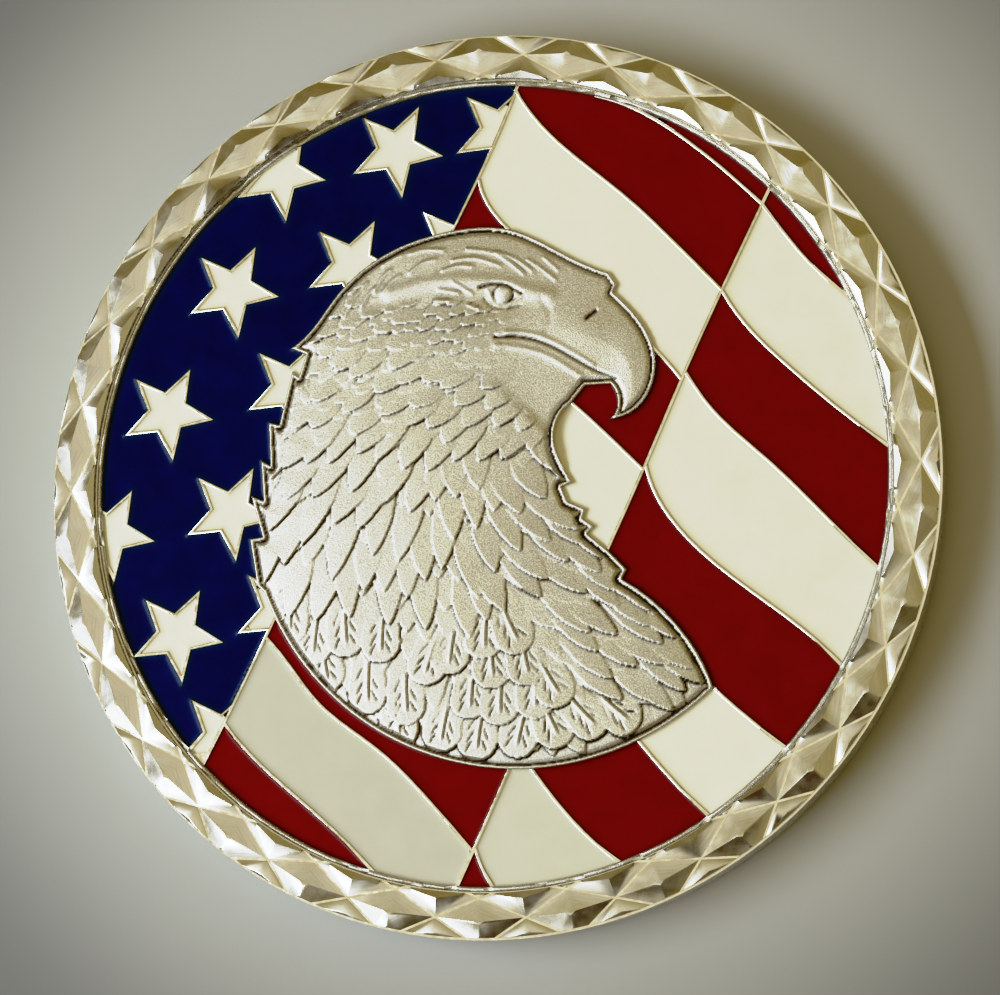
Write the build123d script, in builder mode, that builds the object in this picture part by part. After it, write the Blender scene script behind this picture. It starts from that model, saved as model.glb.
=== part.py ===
"""Challenge coin with a diamond-cut rim, a flag in soft enamel and an eagle's head in relief.

The coin is one struck and plated metal body. Every recess between its raised metal lines
holds its own fill of hardened enamel, so each fill is a separate solid that sits in its
pocket. Units are millimetres. The origin is the centre of the reverse face, +Z runs out of
the obverse, and +Y runs to the top of the design.
"""

import os
from math import cos, radians, sin, tan

from build123d import *

os.makedirs("parts", exist_ok=True)

# ---- Driving dimensions ----
coin_diameter = 44.45
coin_thickness = 3.2
coin_radius = coin_diameter / 2

# Diamond-cut rim: straight V grooves in two hands cross on the crossing circle.
groove_count = 30
groove_start_angle = 7.02
crossing_radius = 21.235
inner_node_radius = 20.24
rim_inner_radius = 20.0
rim_outer_radius = 22.1
groove_depth = 0.34
groove_slope = 21.5
groove_flat_width = 0.11
rim_bevel_width = 0.42
rim_bevel_drop = 0.22
edge_band_height = 2.3

# Field, ring and metal lines of the obverse
field_radius = 19.69
ring_outer_radius = 19.95
ring_top = 2.72
line_top = 2.56
line_width = 0.16
enamel_floor = 2.12
enamel_top = 2.48

# Stars of the canton
star_tip_radius = 2.5
star_notch_radius = 1.08
star_turn = 62.6
star_line_width = 0.15

# Eagle's head
relief_crown = 3.12
relief_dome_radius = 230.0
relief_centre = (-0.5, -0.5)

# Reverse
reverse_field = 0.4
reverse_ring_inner_radius = 18.7
reverse_ring_outer_radius = 19.8
wreath_radius = 14.2
wreath_leaf_count = 11
wreath_leaf_length = 3.4
wreath_leaf_width = 1.5
wreath_relief = 0.28
wreath_first_angle = 8
wreath_leaf_step = 14
wreath_row_offset = 0.8
wreath_leaf_splay = 32
reverse_star_tip_radius = 8.6
reverse_star_notch_radius = 3.6

# ---- Centres of the thirteen stars, column by column down the canton ----
star_centres = [
    (-10.75, 15.70), (-13.09, 9.80), (-16.36, 3.62), (-19.25, -2.48),
    (-4.71, 16.66), (-6.87, 10.90), (-9.85, 4.78), (-12.86, -1.48), (-15.47, -7.57),
    (0.63, 17.46), (-1.50, 11.68), (-10.07, -6.41), (-12.86, -12.57),
]

# ---- Courses of the raised metal lines, from the top of the design down ----
canton_edge = [(1.6, 20.0), (-0.45, 15.05), (-1.7, 12.45), (-6.1, 2.8), (-10.8, -7.65), (-14.2, -14.6)]
fold_line = [(14.1, 14.0), (11.75, 9.0), (9.85, 4.75), (8.0, 0.35), (4.0, -8.6), (0.0, -17.75), (-1.0, -20.0)]
flag_top_edge = [(5.4, 18.95), (8.0, 17.85), (10.0, 16.45), (12.0, 14.75), (13.65, 13.15)]
flag_top_fold = [(13.65, 13.15), (14.9, 11.45), (16.1, 10.0), (17.2, 8.95), (18.2, 8.0)]
stripe_lines = {
    "first": [(1.35, 19.5), (2.9, 17.35), (7.0, 13.75), (9.4, 11.4), (11.72, 8.97)],
    "second": [(-0.42, 15.0), (-0.1, 14.0), (1.1, 12.4), (4.8, 9.2), (8.6, 6.05), (9.8, 4.65)],
    "third": [(2.6, 5.0), (4.45, 3.6), (6.2, 2.0), (7.95, 0.3)],
    "fourth": [(-10.85, -7.7), (-10.0, -8.6), (-8.0, -11.0), (-5.0, -13.2), (-2.2, -15.8), (-0.08, -18.1)],
    "fifth": [(-12.85, -11.95), (-11.6, -13.35), (-8.5, -15.95), (-6.6, -17.55), (-4.6, -19.6)],
    "second_fold": [(11.75, 8.95), (13.1, 7.0), (15.0, 5.1), (17.5, 2.9), (20.0, 0.95)],
    "third_fold": [(10.0, 5.0), (10.25, 4.6), (11.0, 3.5), (14.0, 0.6), (17.0, -2.4), (19.6, -5.0)],
    "fourth_fold": [(8.1, 0.5), (8.45, -0.6), (10.1, -3.0), (13.6, -5.9), (18.0, -9.8)],
    "fifth_fold": [(7.0, -5.6), (9.6, -8.4), (11.6, -10.35), (14.0, -12.35), (15.4, -13.4)],
    "sixth_fold": [(5.0, -9.4), (7.9, -12.75), (9.5, -14.55), (11.8, -16.65)],
    "seventh_fold": [(1.2, -12.0), (2.75, -14.15), (4.2, -15.95), (7.3, -18.6)],
    "eighth_fold": [(-0.05, -17.8), (0.25, -18.6), (1.1, -20.0)],
}

# ---- Eagle's outline, clockwise from the tip at the nape ----
nape_tip = (-9.9, 6.7)
crown_curve = [nape_tip, (-9.0, 7.45), (-7.6, 9.3), (-5.0, 11.4), (-2.0, 12.35), (1.2, 12.35), (4.0, 11.0), (6.2, 10.0)]
brow_notch = [(6.2, 10.0), (6.6, 9.4), (6.45, 9.0)]
beak_curve = [(6.45, 9.0), (7.6, 7.8), (8.45, 6.2), (8.5, 4.8), (7.8, 3.4), (6.35, 2.78)]
beak_hook = [(6.35, 2.78), (6.68, 3.3), (6.65, 4.0), (6.35, 4.5)]
gape = [(6.35, 4.5), (5.1, 4.45), (4.4, 3.6)]
throat_curve = [(4.4, 3.6), (3.72, 2.7), (3.6, 1.7), (4.2, 0.25), (4.55, -0.3)]
throat_feathers = [
    (4.55, -0.3), (4.0, -0.5), (4.3, -1.2), (5.2, -1.6), (5.05, -2.05), (5.65, -2.45), (5.3, -2.8),
    (6.3, -3.6), (7.25, -4.55), (7.0, -5.0),
]
breast_curve = [(7.0, -5.0), (8.4, -5.95), (9.6, -7.1), (10.8, -8.75), (11.45, -10.2)]
bust_bottom = (1.6, -14.1)
bust_back = (-10.95, -5.5)
back_tips = [(-11.75, -2.85), (-11.75, -0.7), (-11.3, 1.1), (-10.95, 3.0), (-9.8, 5.55)]
back_notches = [(-11.1, -2.75), (-11.1, -0.95), (-10.8, 0.8), (-10.4, 2.85), (-9.45, 5.25)]
nape_notch = (-9.1, 6.4)


def star_points(tip_radius, notch_radius, turn):
    """Corners of a five-point star, tip and notch in turn."""
    radii = [tip_radius, notch_radius]
    return [
        (radii[step % 2] * cos(radians(turn + 36 * step)), radii[step % 2] * sin(radians(turn + 36 * step)))
        for step in range(10)
    ]


# ---- Eagle's outline as a face ----
with BuildSketch() as eagle_outline:
    with BuildLine():
        Spline(*crown_curve)
        Polyline(*brow_notch)
        Spline(*beak_curve)
        Spline(*beak_hook)
        Polyline(*gape)
        Spline(*throat_curve)
        Polyline(*throat_feathers)
        Spline(*breast_curve)
        ThreePointArc(breast_curve[-1], bust_bottom, bust_back)
        Polyline(bust_back, (-11.3, -5.2), back_tips[0])
        for tip, notch, next_tip in zip(back_tips, back_notches, back_tips[1:]):
            Polyline(tip, notch, next_tip)
        Polyline(back_tips[-1], back_notches[-1], nape_notch, nape_tip)
    make_face()

# ---- Metal lines of the flag ----
with BuildSketch() as canton_side:
    with BuildLine():
        edge = Spline(*canton_edge)
        Polyline(edge @ 1, (-30, -14.6), (-30, 20), edge @ 0)
    make_face()

star_outside = star_points(star_tip_radius, star_notch_radius, star_turn)
star_inside = star_points(star_tip_radius - 3 * star_line_width, star_notch_radius - star_line_width, star_turn)
with BuildSketch() as star_lines:
    with Locations(*star_centres):
        Polygon(*star_outside, align=None)
        Polygon(*star_inside, align=None, mode=Mode.SUBTRACT)
    add(canton_side.sketch, mode=Mode.INTERSECT)

with BuildSketch() as flag_lines:
    for course in [canton_edge, fold_line, flag_top_edge, flag_top_fold, *stripe_lines.values()]:
        with BuildLine():
            Spline(*course)
        trace(line_width=line_width)

# ---- Enamel cells: the field between the metal lines ----
with BuildSketch() as cells:
    Circle(field_radius)
    add(eagle_outline.sketch, mode=Mode.SUBTRACT)
    add(flag_lines.sketch, mode=Mode.SUBTRACT)
    add(star_lines.sketch, mode=Mode.SUBTRACT)


def cell_at(spot):
    """The one enamel cell that holds the point spot."""
    return next(cell for cell in cells.sketch.faces() if cell.is_inside(Vector(*spot)))


# One point inside each cell, with the name of the fill that lies there
fill_spots = {
    "blue_canton_fill": (-14.0, 6.9),
    "red_top_stripe_fill": (8.2, 15.0),
    "red_top_sliver_fill": (11.9, 15.25),
    "red_side_sliver_fill": (15.3, 11.7),
    "red_crown_corner_fill": (-0.5, 13.2),
    "red_beak_fill": (7.6, 2.2),
    "red_upper_fold_stripe_fill": (15.2, 2.2),
    "red_lower_fold_stripe_fill": (11.9, -7.0),
    "red_short_fold_stripe_fill": (7.0, -15.5),
    "red_foot_corner_fill": (0.0, -19.1),
    "red_bust_stripe_fill": (-1.2, -15.2),
    "red_bottom_stripe_fill": (-10.3, -15.6),
    "white_crown_stripe_fill": (5.5, 12.1),
    "white_upper_fold_stripe_fill": (15.7, 7.6),
    "white_middle_fold_stripe_fill": (13.5, -2.4),
    "white_throat_fill": (5.6, 0.2),
    "white_lower_fold_stripe_fill": (11.4, -13.2),
    "white_short_fold_stripe_fill": (2.8, -17.3),
    "white_bottom_stripe_fill": (-7.5, -13.5),
}
# Stars that the eagle or the canton's edge cuts are found by a point in what is left of them.
cut_star_spots = {
    7: (-10.6, 5.0),
    10: (-0.1, 17.6),
    11: (-2.4, 12.7),
    12: (-11.05, -6.6),
    13: (-13.67, -12.3),
}
for number, centre in enumerate(star_centres, start=1):
    fill_spots[f"star_fill_{number:02d}"] = cut_star_spots.get(number, centre)
fill_cells = {name: cell_at(spot) for name, spot in fill_spots.items()}

# ---- Enamel fills: each stands on its pocket's floor and ends just below the metal lines ----
for name, cell in fill_cells.items():
    with BuildPart() as fill:
        with BuildSketch(Plane.XY.offset(enamel_floor)):
            add(cell)
        extrude(amount=enamel_top - enamel_floor)
    fill.part.label = name
    export_step(fill.part, f"parts/{name}.step")

# ---- Groove cutters of the rim ----
# Each groove is a straight V from an inner node to the next crossing, run past both edges of the rim.
half_pitch = 180 / groove_count
groove_start = Vector(inner_node_radius, 0, 0)
groove_through = Vector(crossing_radius * cos(radians(half_pitch)), crossing_radius * sin(radians(half_pitch)), 0)
groove_direction = (groove_through - groove_start).normalized()
groove_overrun = 0.8
groove_length = 7.0
cutter_clearance = 0.15
cutter_height = groove_depth + cutter_clearance
cutter_half_flat = groove_flat_width / 2
cutter_half_width = cutter_half_flat + cutter_height / tan(radians(groove_slope))
groove_bottom = coin_thickness - groove_depth
groove_plane = Plane(
    origin=groove_start - groove_direction * groove_overrun + Vector(0, 0, groove_bottom),
    x_dir=Vector(0, 0, 1).cross(groove_direction),
    z_dir=groove_direction,
)
with BuildPart() as groove_cutter:
    with BuildSketch(groove_plane):
        Polygon(
            (-cutter_half_flat, 0), (cutter_half_flat, 0),
            (cutter_half_width, cutter_height), (-cutter_half_width, cutter_height), align=None,
        )
    extrude(amount=groove_length)

with BuildPart() as groove_pair:
    add(groove_cutter.part)
    mirror(about=Plane.XZ)

# ---- Eagle's relief ----
with BuildPart() as eagle_relief:
    with BuildSketch(Plane.XY.offset(enamel_floor)):
        add(eagle_outline.sketch)
    extrude(amount=coin_thickness - enamel_floor)
    with Locations((*relief_centre, relief_crown - relief_dome_radius)):
        Sphere(relief_dome_radius, mode=Mode.INTERSECT)

# ---- Struck body ----
band_low = (coin_thickness - edge_band_height) / 2
band_high = band_low + edge_band_height
bevel_top = coin_thickness - rim_bevel_drop
bevel_in = rim_inner_radius + rim_bevel_width
bevel_out = rim_outer_radius - rim_bevel_width
ring_crown = 0.1
ring_shoulder = ring_top - ring_crown
ring_middle = (field_radius + ring_outer_radius) / 2
ring_groove_floor = 2.5
reverse_groove_floor = 0.3

with BuildPart() as coin_body:
    with BuildSketch(Plane.XZ):
        with BuildLine():
            Polyline(
                (ring_outer_radius, ring_shoulder), (ring_outer_radius, ring_groove_floor),
                (rim_inner_radius, ring_groove_floor), (rim_inner_radius, bevel_top),
                (bevel_in, coin_thickness), (bevel_out, coin_thickness), (rim_outer_radius, bevel_top),
                (rim_outer_radius, band_high), (coin_radius, band_high), (coin_radius, band_low),
                (rim_outer_radius, band_low), (rim_outer_radius, rim_bevel_drop), (bevel_out, 0), (bevel_in, 0),
                (rim_inner_radius, rim_bevel_drop), (rim_inner_radius, reverse_groove_floor),
                (reverse_ring_outer_radius, reverse_groove_floor), (reverse_ring_outer_radius, 0),
                (reverse_ring_inner_radius, 0), (reverse_ring_inner_radius, reverse_field),
                (0, reverse_field), (0, line_top), (field_radius, line_top), (field_radius, ring_shoulder),
            )
            ThreePointArc(
                (field_radius, ring_shoulder), (ring_middle, ring_top), (ring_outer_radius, ring_shoulder)
            )
        make_face()
    revolve(axis=Axis.Z)

    # Diamond cuts of the obverse rim, then the same cuts in the reverse rim
    with PolarLocations(0, groove_count, start_angle=groove_start_angle):
        add(groove_pair.part, mode=Mode.SUBTRACT)
    with PolarLocations(0, groove_count, start_angle=groove_start_angle):
        add(mirror(groove_pair.part, about=Plane.XY.offset(coin_thickness / 2), mode=Mode.PRIVATE), mode=Mode.SUBTRACT)

    # Eagle's head, and the pockets that take the enamel
    add(eagle_relief.part)
    with BuildSketch(Plane.XY.offset(enamel_floor)):
        add(fill_cells.values())
    extrude(amount=coin_thickness - enamel_floor, mode=Mode.SUBTRACT)

    # Reverse: a star inside a wreath that is open at the top
    with BuildSketch(Plane.XY.offset(reverse_field)):
        Polygon(*star_points(reverse_star_tip_radius, reverse_star_notch_radius, 90), align=None)
        for side in (-1, 1):
            for step in range(wreath_leaf_count):
                angle = -90 + side * (wreath_first_angle + wreath_leaf_step * step)
                for row in (-1, 1):
                    radius = wreath_radius + wreath_row_offset * row
                    with Locations(Location((radius * cos(radians(angle)), radius * sin(radians(angle))),
                                            angle + side * (90 - wreath_leaf_splay * row))):
                        Ellipse(wreath_leaf_length / 2, wreath_leaf_width / 2)
    extrude(amount=-wreath_relief)

coin_body.part.label = "coin_body"
export_step(coin_body.part, "parts/coin_body.step")
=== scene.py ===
"""Visual model of a struck, plated and soft-enamelled challenge coin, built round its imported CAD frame.

The coin's outlines come from the CAD nodes: each enamel fill and the eagle's relief grow from the outline
of their own node, and the struck body is dressed from a merged copy of its node. Lengths are in millimetres
until a mesh is handed to Blender, which gets metres.
"""

import logging
import math
from dataclasses import dataclass, field
from enum import Enum
from typing import Callable, Iterable, Sequence

import bmesh
import bpy
import numpy as np
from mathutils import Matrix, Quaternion, Vector


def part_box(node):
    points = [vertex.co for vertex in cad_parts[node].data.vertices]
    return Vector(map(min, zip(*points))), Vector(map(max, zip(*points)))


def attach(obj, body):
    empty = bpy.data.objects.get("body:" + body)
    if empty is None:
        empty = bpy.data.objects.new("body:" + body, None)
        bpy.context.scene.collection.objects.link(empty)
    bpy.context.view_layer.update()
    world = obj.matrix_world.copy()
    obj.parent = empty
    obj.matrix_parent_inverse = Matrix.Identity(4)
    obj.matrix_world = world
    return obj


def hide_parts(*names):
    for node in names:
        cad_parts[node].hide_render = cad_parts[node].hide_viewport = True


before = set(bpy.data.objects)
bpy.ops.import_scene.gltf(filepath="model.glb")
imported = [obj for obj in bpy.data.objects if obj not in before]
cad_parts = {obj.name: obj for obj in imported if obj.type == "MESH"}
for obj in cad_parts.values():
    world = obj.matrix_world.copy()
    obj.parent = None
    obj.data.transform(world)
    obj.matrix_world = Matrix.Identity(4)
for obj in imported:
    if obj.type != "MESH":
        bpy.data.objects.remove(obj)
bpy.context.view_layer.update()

LOG = logging.getLogger("coin")
MM = 0.001
SEED = 7
WELD = 5e-4

Tree = bpy.types.NodeTree
Node = bpy.types.Node
Socket = bpy.types.NodeSocket
Material = bpy.types.Material
BMesh = bmesh.types.BMesh
Edge = bmesh.types.BMEdge
Face = bmesh.types.BMFace
Vert = bmesh.types.BMVert
Pair = tuple[float, float]


# ---- colours and nodes


def linear(code: str) -> tuple[float, float, float, float]:
    """Turns an sRGB hex colour into the linear colour that shaders take.

    Args:
        code: Colour such as "#7B0000".

    Returns:
        Red, green, blue and alpha, linear.
    """
    parts = [int(code[i : i + 2], 16) / 255 for i in (1, 3, 5)]
    curve = [c / 12.92 if c <= 0.04045 else ((c + 0.055) / 1.055) ** 2.4 for c in parts]
    return (curve[0], curve[1], curve[2], 1.0)


def add_node(tree: Tree, kind: str, settings: dict | None = None, **inputs: object) -> Node:
    """Adds one shader node with its settings and links.

    Args:
        tree: Node tree that takes the node.
        kind: Blender's type name, such as "ShaderNodeMix".
        settings: Properties of the node itself.
        **inputs: Socket name, with underscores for spaces, or "i" and an index, to a value or an output
            socket.

    Returns:
        The new node.
    """
    node = tree.nodes.new(kind)
    for name, value in (settings or {}).items():
        setattr(node, name, value)
    for name, value in inputs.items():
        key = int(name[1:]) if name[0] == "i" and name[1:].isdigit() else name.replace("_", " ")
        if isinstance(value, Socket):
            tree.links.new(value, node.inputs[key])
        else:
            node.inputs[key].default_value = value
    return node


def ramp(tree: Tree, fac: Socket, stops: Sequence[tuple[float, str]]) -> Socket:
    """Colour ramp through hex colours.

    Args:
        tree: Node tree that takes the node.
        fac: Socket that drives the ramp.
        stops: Positions from 0 to 1 with their hex colours.

    Returns:
        The ramp's colour output.
    """
    node = add_node(tree, "ShaderNodeValToRGB", Fac=fac)
    points = node.color_ramp.elements
    while len(points) < len(stops):
        points.new(0.5)
    for point, (place, code) in zip(points, stops):
        point.position = place
        point.color = linear(code)
    return node.outputs["Color"]


def remap(tree: Tree, value: Socket, source: Pair, target: Pair = (0.0, 1.0), soft: bool = False) -> Socket:
    """Maps one range of values to another.

    Args:
        tree: Node tree that takes the node.
        value: Socket that is mapped.
        source: Values that come in.
        target: Values that they become.
        soft: Whether the map eases in and out.

    Returns:
        The mapped value.
    """
    way = {"interpolation_type": "SMOOTHSTEP" if soft else "LINEAR"}
    low, high = source
    node = add_node(tree, "ShaderNodeMapRange", way, Value=value, From_Min=low, From_Max=high)
    node.inputs["To Min"].default_value, node.inputs["To Max"].default_value = target
    return node.outputs[0]


def blend(tree: Tree, share: Socket, first: Socket, code: str) -> Socket:
    """Mixes a colour towards a hex colour, by the share of the hex colour that there is."""
    kind = {"data_type": "RGBA"}
    return add_node(tree, "ShaderNodeMix", kind, i0=share, i6=first, i7=linear(code)).outputs[2]


def noise(tree: Tree, place: Socket, period: float, detail: float, roughness: float = 0.5) -> Socket:
    """Noise from 0 to 1 in Object coordinates, which about repeats after a period in millimetres."""
    scale = 1 / (period * MM)
    node = add_node(tree, "ShaderNodeTexNoise", Vector=place, Scale=scale, Detail=detail, Roughness=roughness)
    return node.outputs["Fac"]


def wire(tree: Tree, tint: Socket, rough: Socket | float, bump: Node, metallic: float = 1.0) -> None:
    """Feeds a tree's Principled shader.

    Args:
        tree: The material's node tree.
        tint: Its colour.
        rough: Its roughness, as a socket or as one number.
        bump: The bump node that bends its normal.
        metallic: 1 for metal and 0 for anything else.
    """
    inputs = tree.nodes["Principled BSDF"].inputs
    tree.links.new(tint, inputs["Base Color"])
    if isinstance(rough, float):
        inputs["Roughness"].default_value = rough
    else:
        tree.links.new(rough, inputs["Roughness"])
    tree.links.new(bump.outputs["Normal"], inputs["Normal"])
    inputs["Metallic"].default_value = metallic


def add_object(name: str, data: bpy.types.ID) -> bpy.types.Object:
    """Puts a new object with its data in the scene."""
    thing = bpy.data.objects.new(name, data)
    bpy.context.scene.collection.objects.link(thing)
    return thing


class Slot(Enum):
    """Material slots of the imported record."""

    SILVER = "silver_plate"
    BLUE = "blue_enamel"
    RED = "red_enamel"
    WHITE = "white_enamel"


class Zone(Enum):
    """Finishes of the struck body, numbered as its material slots are."""

    POLISHED = 0
    CUT = 1
    BLASTED = 2


def merged_copy(node: str) -> BMesh:
    """Copies a CAD node's mesh in millimetres, with its loose triangles joined.

    Args:
        node: Name of the CAD node.

    Returns:
        A new bmesh.
    """
    bm = bmesh.new()
    bm.from_mesh(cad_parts[node].data)
    bmesh.ops.scale(bm, vec=(1 / MM, 1 / MM, 1 / MM), verts=bm.verts)
    bmesh.ops.remove_doubles(bm, verts=bm.verts, dist=WELD)
    bmesh.ops.dissolve_degenerate(bm, edges=bm.edges, dist=WELD)
    bm.normal_update()
    return bm


def finish_piece(
    bm: BMesh,
    name: str,
    nodes: Iterable[str],
    finishes: Sequence[Material],
    crease: float = 15.0,
) -> bpy.types.Object:
    """Turns a bmesh in millimetres into a piece that rides on the coin.

    Args:
        bm: The shape, which is freed.
        name: Name of the piece.
        nodes: CAD nodes that it stands for.
        finishes: Materials, in the order of the faces' indices.
        crease: Angle in degrees from which an edge looks sharp.

    Returns:
        The new object.
    """
    bmesh.ops.scale(bm, vec=(MM, MM, MM), verts=bm.verts)
    mesh = bpy.data.meshes.new(name)
    bm.to_mesh(mesh)
    bm.free()
    for finish in finishes:
        mesh.materials.append(finish)
    mesh.shade_smooth()
    mesh.set_sharp_from_angle(angle=math.radians(crease))
    piece = add_object(name, mesh)
    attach(piece, "root")
    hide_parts(*nodes)
    LOG.info("%s: %d vertices, %d faces", name, len(mesh.vertices), len(mesh.polygons))
    return piece


# ---- outlines


@dataclass
class Outline:
    """Straight segments in the plane, closed round an area or open along a stroke, in millimetres."""

    starts: np.ndarray
    ends: np.ndarray
    chunk: int = 4000

    @classmethod
    def of_faces(cls, bm: BMesh, faces: set[Face]) -> "Outline":
        """Takes the border of some faces.

        Args:
            bm: Mesh that holds them.
            faces: Faces whose outer and inner borders are wanted.

        Returns:
            Their outline, seen from above.
        """
        rim = [e for e in bm.edges if sum(f in faces for f in e.link_faces) == 1]
        pairs = np.array([[v.co.xy for v in e.verts] for e in rim], float)
        return cls(pairs[:, 0], pairs[:, 1])

    @classmethod
    def of_stroke(cls, points: Sequence[Pair], rounds: int = 2) -> "Outline":
        """Follows a few points with their corners cut, as a smooth open stroke.

        Args:
            points: Points that lead the stroke.
            rounds: How often each corner is cut.

        Returns:
            The open outline.
        """
        line = np.array(points, float)
        for _ in range(rounds):
            near = 0.75 * line[:-1] + 0.25 * line[1:]
            far = 0.25 * line[:-1] + 0.75 * line[1:]
            inner = np.stack([near, far], axis=1).reshape(-1, 2)
            line = np.vstack([line[:1], inner, line[-1:]])
        return cls(line[:-1], line[1:])

    def box(self) -> tuple[np.ndarray, np.ndarray]:
        """Lowest and highest corner."""
        ends = np.vstack([self.starts, self.ends])
        return ends.min(0), ends.max(0)

    def contains(self, points: np.ndarray) -> np.ndarray:
        """Tells which points lie inside, by counting the crossings of a ray.

        Args:
            points: Places, one per row.

        Returns:
            One truth value per point.
        """
        (x1, y1), (x2, y2) = self.starts.T, self.ends.T
        rise = np.where(y2 == y1, 1.0, y2 - y1)
        inside = np.zeros(len(points), bool)
        for first in range(0, len(points), self.chunk):
            x, y = (points[first : first + self.chunk, k, None] for k in (0, 1))
            spans = (y1 > y) != (y2 > y)
            beyond = x < x1 + (y - y1) * (x2 - x1) / rise
            inside[first : first + self.chunk] = (spans & beyond).sum(1) % 2 == 1
        return inside

    def nearest(self, points: np.ndarray) -> tuple[np.ndarray, np.ndarray]:
        """Finds the nearest place on the outline for each point.

        Args:
            points: Places, one per row.

        Returns:
            The nearest places and the distances to them.
        """
        run = self.ends - self.starts
        length = np.maximum((run**2).sum(1), 1e-12)
        places = np.empty_like(points)
        for first in range(0, len(points), self.chunk):
            part = points[first : first + self.chunk]
            away = part[:, None] - self.starts
            share = np.clip((away * run).sum(2) / length, 0, 1)
            on = self.starts + share[..., None] * run
            best = ((part[:, None] - on) ** 2).sum(2).argmin(1)
            places[first : first + self.chunk] = on[np.arange(len(part)), best]
        return places, np.linalg.norm(points - places, axis=1)

    def corners(self, turn: float = 28.0) -> np.ndarray:
        """Finds where the outline turns sharply.

        Args:
            turn: Least change of direction, in degrees.

        Returns:
            The corner points, one per row.
        """
        keyed: dict[Pair, list[np.ndarray]] = {}
        for a, b in zip(self.starts, self.ends):
            run = (b - a) / max(np.linalg.norm(b - a), 1e-9)
            keyed.setdefault(tuple(np.round(a, 3)), []).append(run)
            keyed.setdefault(tuple(np.round(b, 3)), []).append(-run)
        limit = -math.cos(math.radians(turn))
        found = [k for k, runs in keyed.items() if len(runs) == 2 and runs[0] @ runs[1] > limit]
        return np.array(found, float).reshape(-1, 2)


Height = Callable[[np.ndarray, np.ndarray], np.ndarray]


@dataclass
class Inlay:
    """A closed slab with a modelled top, cut from a fine grid to an outline."""

    outline: Outline
    spacing: float
    floor: float
    height: Height
    gridded_back: bool = True
    least_gap: float = 0.35
    corner_reach: float = 4.0

    def bare_grid(self) -> BMesh:
        """Grid that covers the outline's box."""
        low, high = self.outline.box()
        middle, half = (low + high) / 2, (high - low) / 2 + self.spacing
        steps = [max(2, round(2 * h / self.spacing)) for h in half]
        bm = bmesh.new()
        bmesh.ops.create_grid(bm, x_segments=steps[0], y_segments=steps[1], size=1.0)
        bmesh.ops.scale(bm, vec=(half[0], half[1], 1), verts=bm.verts)
        bmesh.ops.translate(bm, vec=(middle[0], middle[1], 0), verts=bm.verts)
        return bm

    def clip(self, bm: BMesh) -> None:
        """Removes what lies outside the outline or too near it, and any loose or pinched corner.

        Args:
            bm: The grid.
        """
        points = np.array([v.co.xy for v in bm.verts], float)
        inside = self.outline.contains(points)
        near = np.full(len(points), False)
        near[inside] = self.outline.nearest(points[inside])[1] < self.least_gap * self.spacing
        verts = list(bm.verts)
        bmesh.ops.delete(bm, geom=[verts[i] for i in np.nonzero(~inside | near)[0]], context="VERTS")
        bmesh.ops.delete(bm, geom=[v for v in bm.verts if not v.link_faces], context="VERTS")
        pinched = {self.looser_face(v) for v in bm.verts if sum(e.is_boundary for e in v.link_edges) > 2}
        while pinched:
            bmesh.ops.delete(bm, geom=list(pinched), context="FACES")
            pinched = {self.looser_face(v) for v in bm.verts if sum(e.is_boundary for e in v.link_edges) > 2}

    @staticmethod
    def looser_face(vert: Vert) -> Face:
        """The face at a vertex that has the fewest neighbours."""
        return min(vert.link_faces, key=lambda f: sum(len(e.link_faces) for e in f.edges))

    def spread(self, bm: BMesh) -> list[Edge]:
        """Draws the grid's ragged border out to the outline, with a vertex on each of its corners.

        Args:
            bm: The clipped grid.

        Returns:
            The border's edges, on the outline.
        """
        ragged = [e for e in bm.edges if e.is_boundary]
        made = bmesh.ops.extrude_edge_only(bm, edges=ragged)["geom"]
        border = [v for v in made if isinstance(v, Vert)]
        places, _ = self.outline.nearest(np.array([v.co.xy for v in border], float))
        for corner in self.outline.corners():
            gaps = np.linalg.norm(places - corner, axis=1)
            if gaps.min() < self.corner_reach * self.spacing:
                places[gaps.argmin()] = corner
        for vert, place in zip(border, places):
            vert.co.xy = place
        return [e for e in made if isinstance(e, Edge)]

    def build(self) -> BMesh:
        """Makes the slab.

        Returns:
            A closed mesh, with its normals outwards.
        """
        bm = self.bare_grid()
        self.clip(bm)
        border = self.spread(bm)
        points = np.array([v.co.xy for v in bm.verts], float)
        heights = self.height(points, self.outline.nearest(points)[1])
        for vert, height in zip(bm.verts, heights):
            vert.co.z = height
        if self.gridded_back:
            made = bmesh.ops.extrude_face_region(bm, geom=bm.faces[:], use_keep_orig=True)["geom"]
        else:
            made = bmesh.ops.extrude_edge_only(bm, edges=border)["geom"]
        for vert in made:
            if isinstance(vert, Vert):
                vert.co.z = self.floor
        if not self.gridded_back:
            foot = [e for e in made if isinstance(e, Edge)]
            bmesh.ops.holes_fill(bm, edges=foot, sides=0)
        bmesh.ops.recalc_face_normals(bm, faces=bm.faces)
        return bm


def ease(low: float, high: float, value: np.ndarray) -> np.ndarray:
    """Smooth step from 0 at low to 1 at high."""
    share = np.clip((value - low) / (high - low), 0, 1)
    return share * share * (3 - 2 * share)


# ---- finishes


def new_material(name: str) -> tuple[Material, Tree, Socket]:
    """Starts a material, given with its node tree and its Object coordinates."""
    material = bpy.data.materials.new(name)
    material.use_nodes = True
    tree = material.node_tree
    return material, tree, add_node(tree, "ShaderNodeTexCoord").outputs["Object"]


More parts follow.
